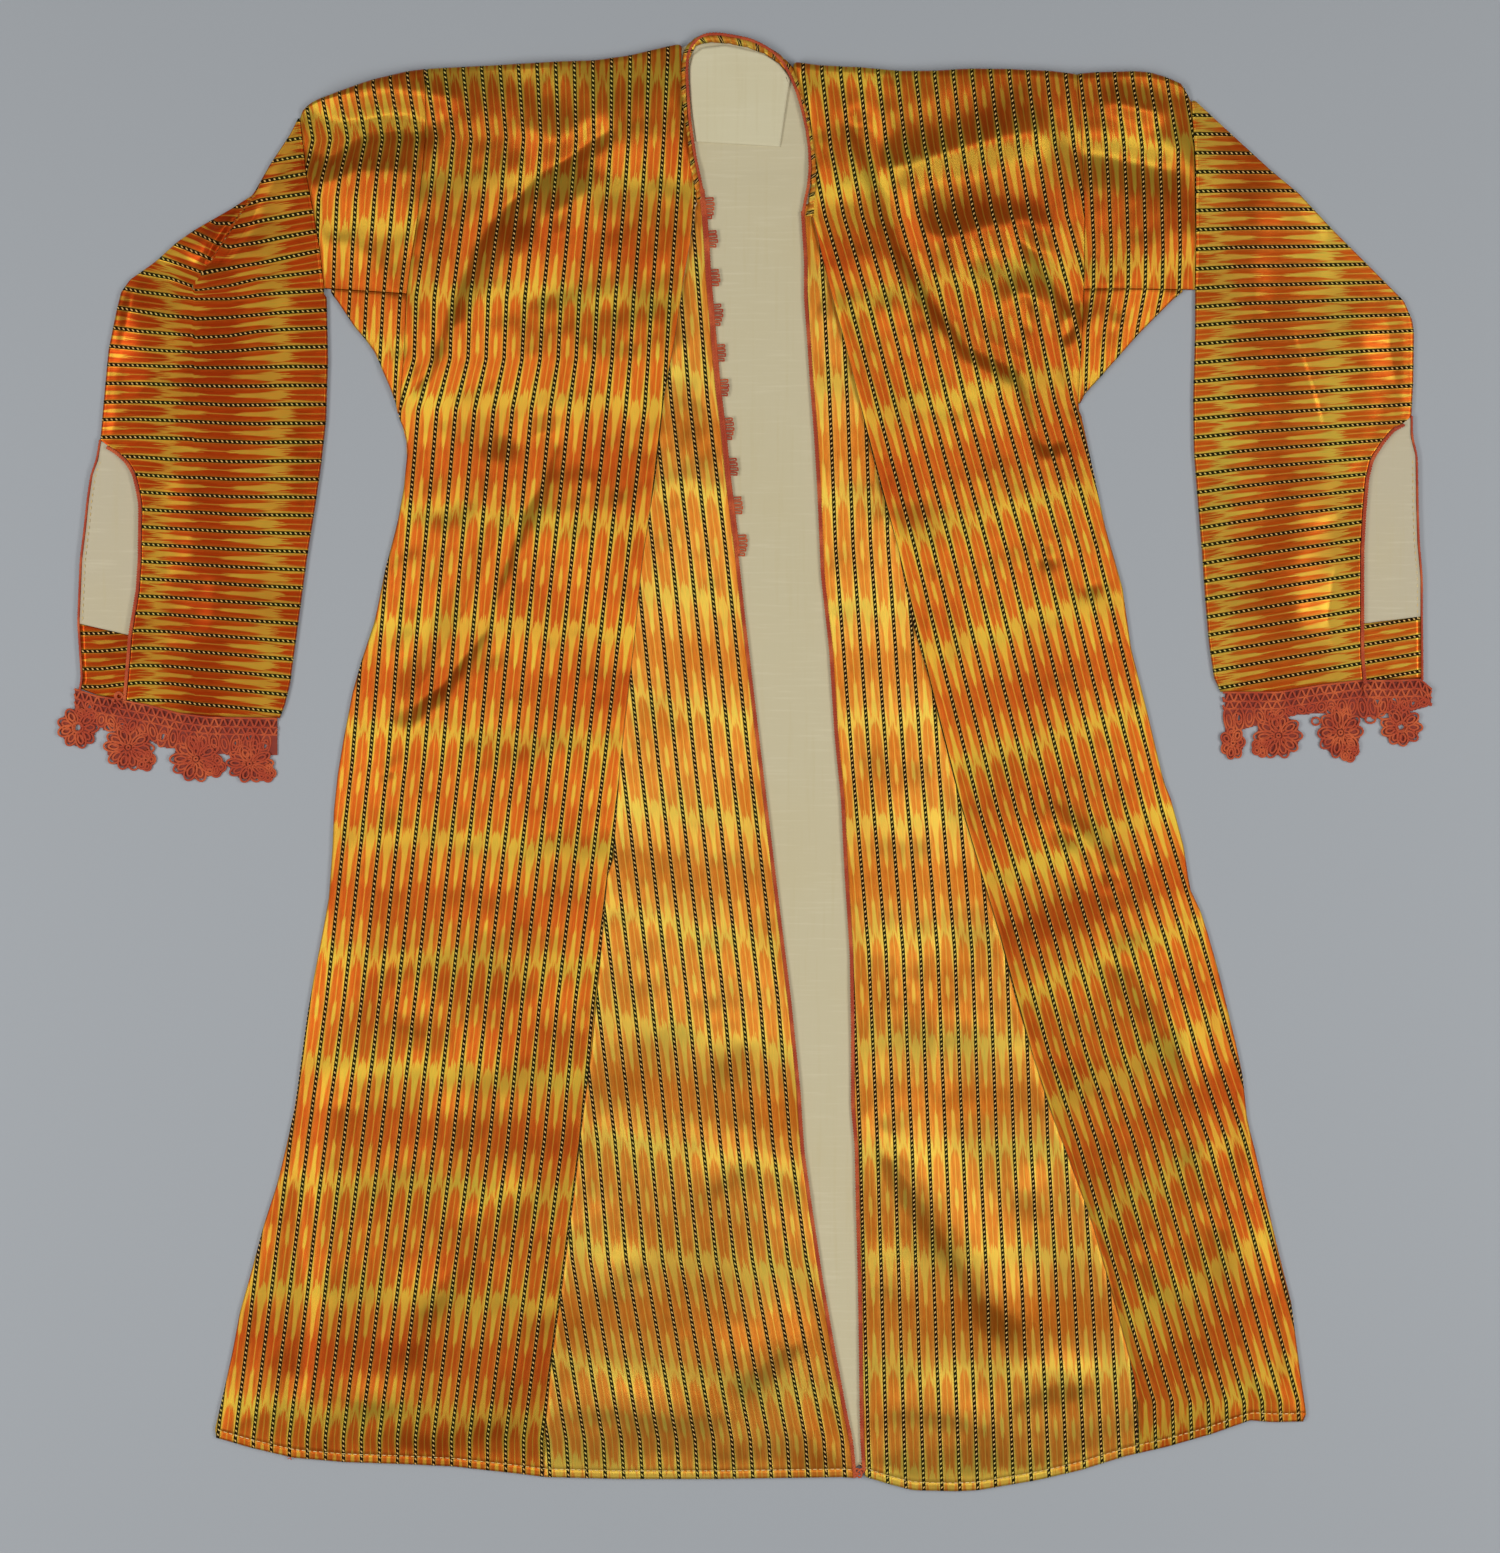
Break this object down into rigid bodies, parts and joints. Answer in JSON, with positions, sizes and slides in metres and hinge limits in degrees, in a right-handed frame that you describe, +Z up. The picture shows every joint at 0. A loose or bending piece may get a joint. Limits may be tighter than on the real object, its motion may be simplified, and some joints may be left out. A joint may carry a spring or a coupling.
{
  "type": "ikat coat",
  "caption": "Long striped silk coat laid flat on its back, with flared skirts, folded sleeves, a lined open neck and front, crocheted edge braid, button loops and cuff lace.",
  "frame": {"origin": "on the floor, under the middle of the laid-out coat: the centre of the bounding box's bottom face", "axes": "+Z up off the floor, +Y from the hem to the collar, +X to the wearer's left sleeve"},
  "size_m": [1.1004, 1.1656, 0.0135],
  "materials": {
    "silk": "satin warp ikat, striped with dark twisted cords",
    "gore_silk": "satin warp ikat, striped with dark twisted cords",
    "cotton": "plain matte cotton",
    "crochet": "matte crocheted cotton thread"
  },
  "bodies": {
    "root": {"right_body_length": "silk", "left_body_length": "silk", "right_front_gore": "gore_silk", "left_front_gore": "gore_silk", "right_shoulder_piece": "silk", "left_shoulder_piece": "silk", "right_underarm_gusset": "silk", "left_underarm_gusset": "silk", "right_sleeve": "silk", "left_sleeve": "silk", "right_cuff_facing": "gore_silk", "left_cuff_facing": "gore_silk", "right_sleeve_lining": "cotton", "left_sleeve_lining": "cotton", "back_lining": "cotton", "neck_yoke_patch": "cotton", "neck_binding": "gore_silk", "right_front_braid": "crochet", "left_front_braid": "crochet", "right_vent_braid": "crochet", "left_vent_braid": "crochet", "right_cuff_lace": "crochet", "left_cuff_lace": "crochet"}
  },
  "joints": []
}
